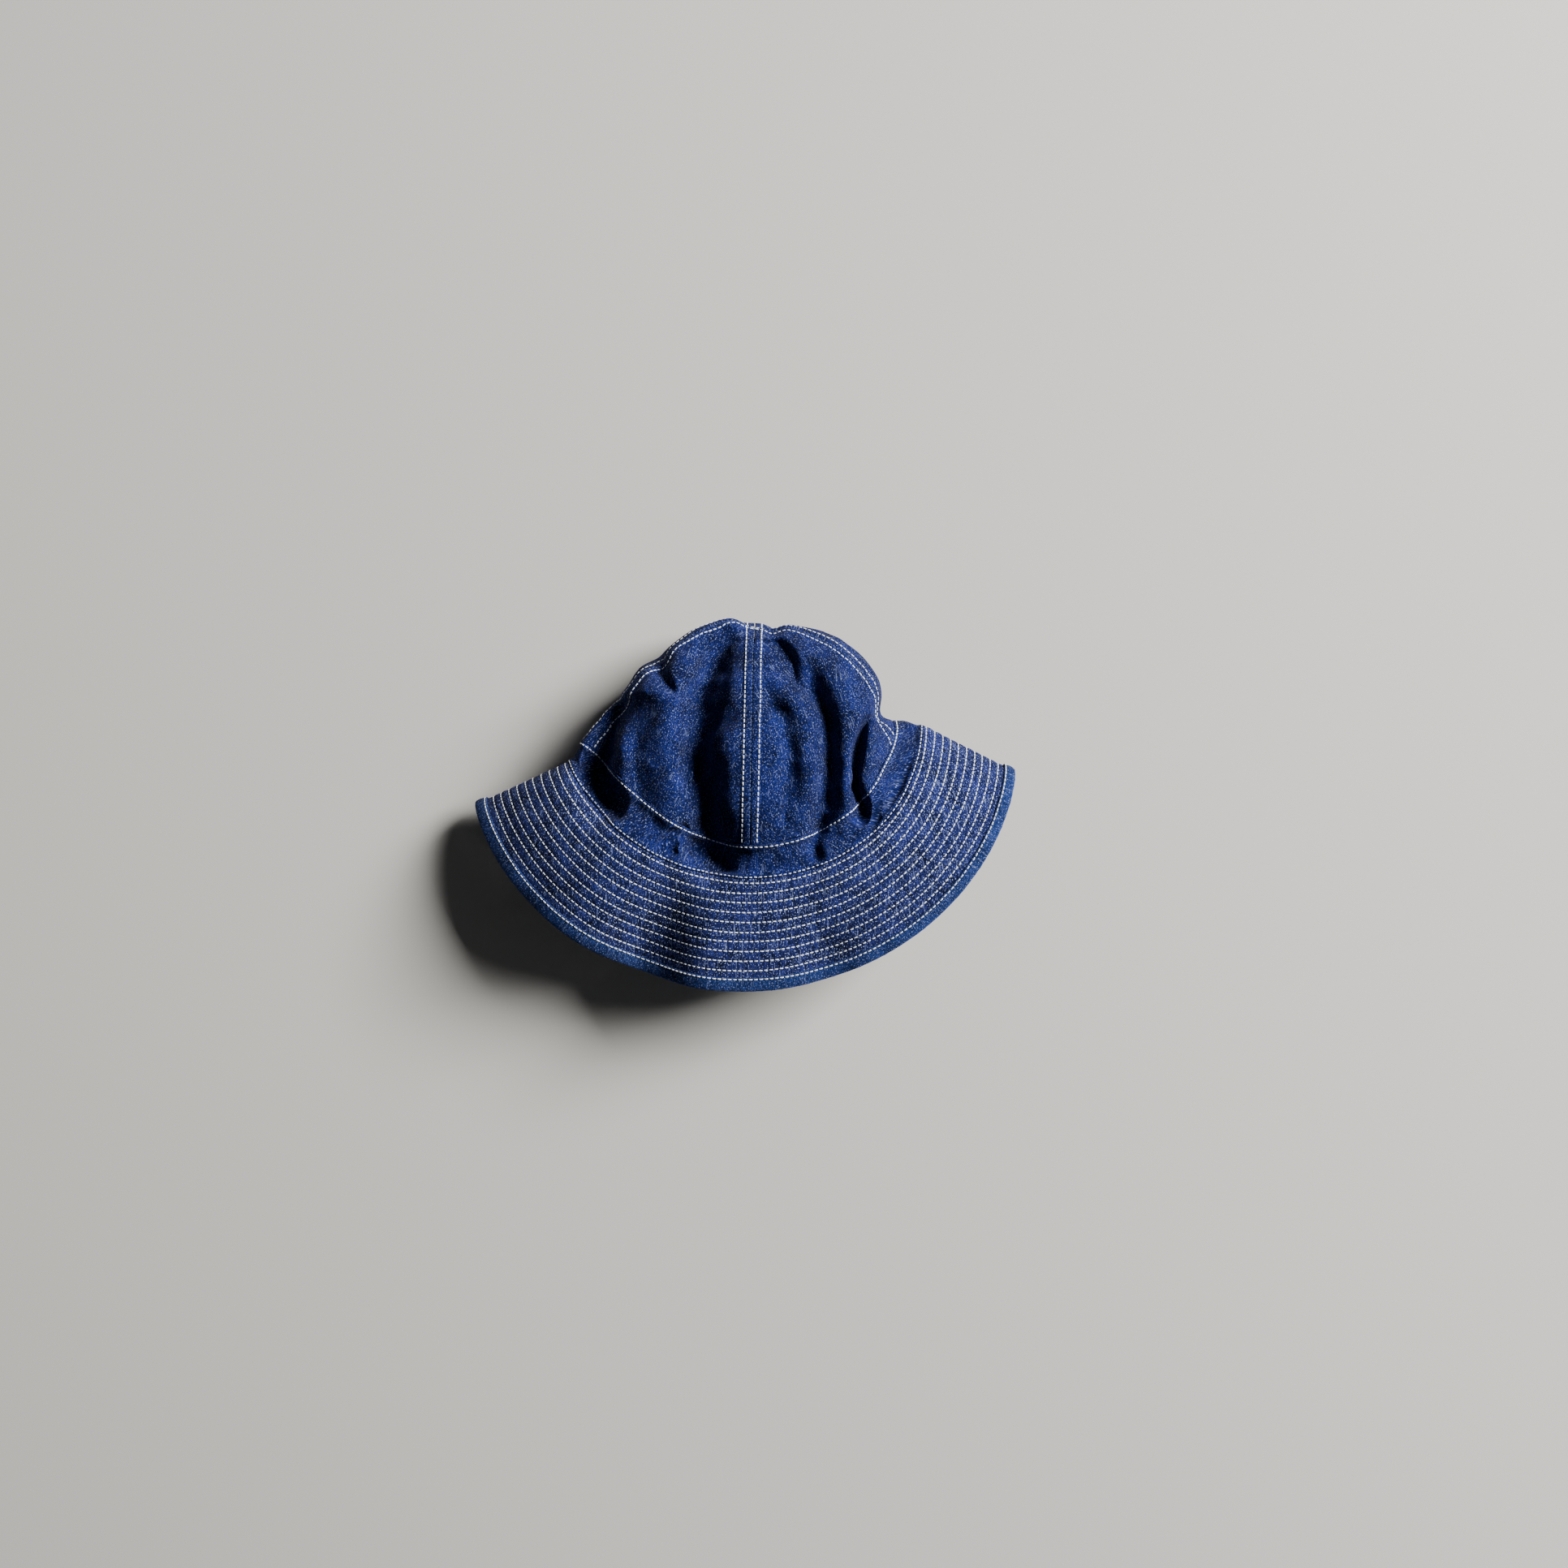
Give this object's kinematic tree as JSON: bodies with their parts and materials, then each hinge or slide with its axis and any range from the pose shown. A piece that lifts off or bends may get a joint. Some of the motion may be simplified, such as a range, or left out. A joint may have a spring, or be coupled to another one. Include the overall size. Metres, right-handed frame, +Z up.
{
  "type": "stitched-brim sailor hat, lying",
  "caption": "Soft denim sailor hat with a paneled crown, a plain band and a stitched bound brim, lying on its back half flattened.",
  "frame": {"origin": "middle of the hat's footprint, on the surface it lies on", "axes": "+Z up from the surface, +Y towards the crown's top, -Y out of the mouth of the head hollow, +X across the hat along its longest extent, to the right when seen from above"},
  "size_m": [0.3106, 0.2087, 0.0817],
  "materials": {
    "denim": "dark indigo denim with pale flecks, white contrast stitching",
    "brim_denim": "the same denim in two plies, quilted by close rows of white stitching",
    "binding": "slightly lighter and bluer denim strip folded over the edge",
    "thread": "white twisted sewing thread, matte"
  },
  "bodies": {
    "root": {"crown_front_left": "denim", "crown_front_right": "denim", "crown_back_right": "denim", "crown_back_left": "denim", "crown_band": "denim", "brim_top_ply": "brim_denim", "brim_under_ply": "brim_denim", "brim_binding": "binding"}
  },
  "joints": []
}
